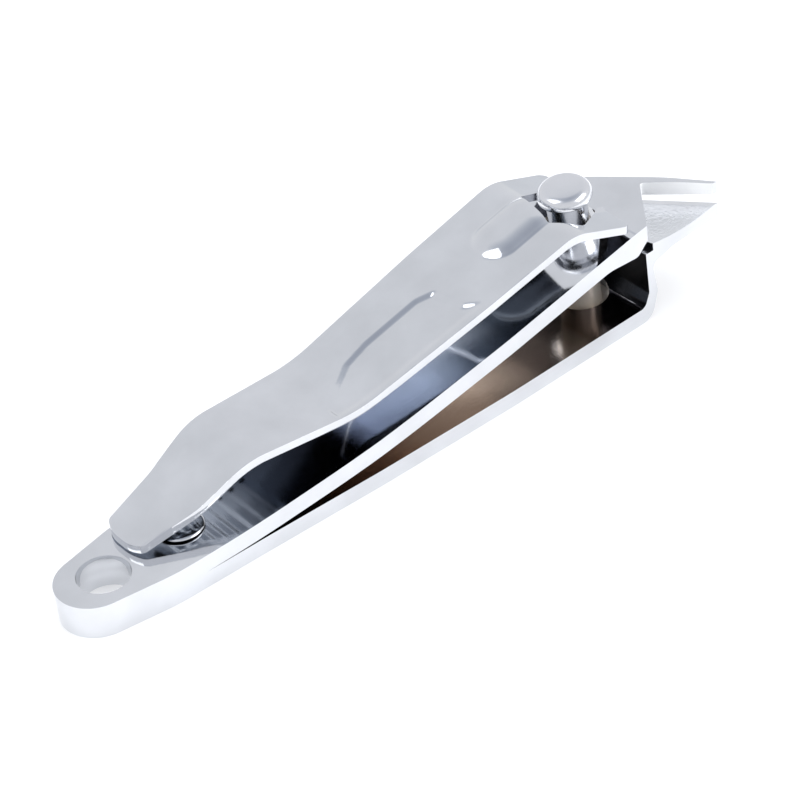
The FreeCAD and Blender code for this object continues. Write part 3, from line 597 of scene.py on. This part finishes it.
def make_rivet():
    """Tail rivet with its low dome."""
    under = 3.89
    corners = [(0, 0.02), (2.2, 0.02), (2.2, 0.5), (1.4, 0.5), (1.4, under), (2.5, under),
               (2.35, under + 0.22), (1.6, under + 0.42), (0, under + 0.5)]
    outline = rounded(corners, {1: 0.1, 5: 0.08, 6: 0.4, 7: 1.2}, step=math.radians(8))
    outline = [(0, 0.02)] + [tuple(point) for point in outline[1:-1]] + [(0, under + 0.5)]
    piece = turned("tail_rivet_turned", outline, Vector((RIVET_X, 0, 0)), 0.0)
    finish_piece(piece, (CHROME,), "base", ["tail_rivet"])


# ---------------------------------------------------------------- studio

def area_light(name, place, aim, size, power, glossy=True):
    """Rectangular soft light, optionally left out of reflections."""
    data = bpy.data.lights.new(name, "AREA")
    data.shape = "RECTANGLE"
    data.size, data.size_y = size
    data.energy = power
    lamp = bpy.data.objects.new(name, data)
    lamp.location = place
    lamp.rotation_euler = (Vector(aim) - Vector(place)).to_track_quat("-Z", "Y").to_euler()
    lamp.visible_glossy = glossy
    lamp.visible_camera = False
    bpy.context.scene.collection.objects.link(lamp)


def make_floor():
    """Plain pale floor under the clipper, with a little light of its own."""
    mesh = bpy.data.meshes.new("floor")
    reach = 3.0
    mesh.from_pydata([(-reach, -reach, 0), (reach, -reach, 0), (reach, reach, 0), (-reach, reach, 0)], [],
                     [(0, 1, 2, 3)])
    floor = new_object("floor", mesh)
    floor.location.z = LEAF_LOW[2] - 0.00002
    material = bpy.data.materials.new("white table")
    material.use_nodes = True
    shader = material.node_tree.nodes["Principled BSDF"]
    shader.inputs["Base Color"].default_value = (0.84, 0.84, 0.84, 1)
    shader.inputs["Roughness"].default_value = 0.6
    shader.inputs["Specular IOR Level"].default_value = 0.2
    shader.inputs["Emission Color"].default_value = (1, 1, 1, 1)
    shader.inputs["Emission Strength"].default_value = 0.22
    mesh.materials.append(material)


def make_world():
    """Light tent: palest a little above the horizon, darker below it and overhead."""
    world = bpy.data.worlds.new("tent")
    bpy.context.scene.world = world
    world.use_nodes = True
    nodes, links = world.node_tree.nodes, world.node_tree.links
    background = nodes["Background"]
    place = nodes.new("ShaderNodeTexCoord")
    split = nodes.new("ShaderNodeSeparateXYZ")
    ramp = nodes.new("ShaderNodeValToRGB")
    links.new(place.outputs["Generated"], split.inputs["Vector"])
    links.new(split.outputs["Z"], ramp.inputs["Fac"])
    ramp.color_ramp.elements[0].position = 0.0
    ramp.color_ramp.elements[0].color = (0.66, 0.69, 0.75, 1)
    ramp.color_ramp.elements[1].position = 1.0
    ramp.color_ramp.elements[1].color = (0.42, 0.45, 0.52, 1)
    for position, colour in ((0.22, (0.83, 0.84, 0.86, 1)), (0.5, (0.80, 0.81, 0.845, 1)),
                             (0.79, (0.77, 0.785, 0.82, 1)), (0.88, (0.58, 0.61, 0.67, 1))):
        stop = ramp.color_ramp.elements.new(position)
        stop.color = colour
    links.new(ramp.outputs["Color"], background.inputs["Color"])
    background.inputs["Strength"].default_value = 1.0


def make_camera():
    """Camera at the photograph's viewing angle."""
    azimuth, elevation, roll = math.radians(-36.08), math.radians(38.04), math.radians(7.65)
    distance, lens = 0.318, 144.9
    target = Vector((-0.0001, 0, 0.004))
    right = Vector((math.cos(azimuth), math.sin(azimuth), 0))
    backward = Vector((math.sin(azimuth) * math.cos(elevation), -math.cos(azimuth) * math.cos(elevation),
                       math.sin(elevation)))
    up = backward.cross(right)
    across = right * math.cos(roll) - up * math.sin(roll)
    upright = right * math.sin(roll) + up * math.cos(roll)
    pan, tilt = math.radians(-0.288), math.radians(-0.042)
    location = target + distance * backward
    aim = -backward
    swing = Matrix.Rotation(pan, 3, upright) @ Matrix.Rotation(tilt, 3, across)
    across, upright, aim = swing @ across, swing @ upright, swing @ aim
    data = bpy.data.cameras.new("camera")
    data.lens = lens
    data.sensor_width = 36
    data.clip_start = 0.01
    camera = bpy.data.objects.new("camera", data)
    turn = Matrix((across, upright, -aim)).transposed()
    camera.matrix_world = Matrix.Translation(location) @ turn.to_4x4()
    bpy.context.scene.collection.objects.link(camera)
    bpy.context.scene.camera = camera


make_lower_leaf()
make_upper_leaf()
make_lever()
make_pin()
make_rivet()
make_floor()
make_world()
make_camera()
area_light("fill", (0.0, 0.0, 0.9), (0, 0, 0), (1.4, 1.4), 4.6, glossy=False)
area_light("rim", (0.37, -0.49, 0.51), (0, 0, 0), (0.55, 0.34), 1.9)
area_light("spark", (-0.36, 0.20, 0.68), (0, 0, 0), (0.44, 0.44), 0.8)
bpy.context.scene.view_settings.view_transform = "Standard"
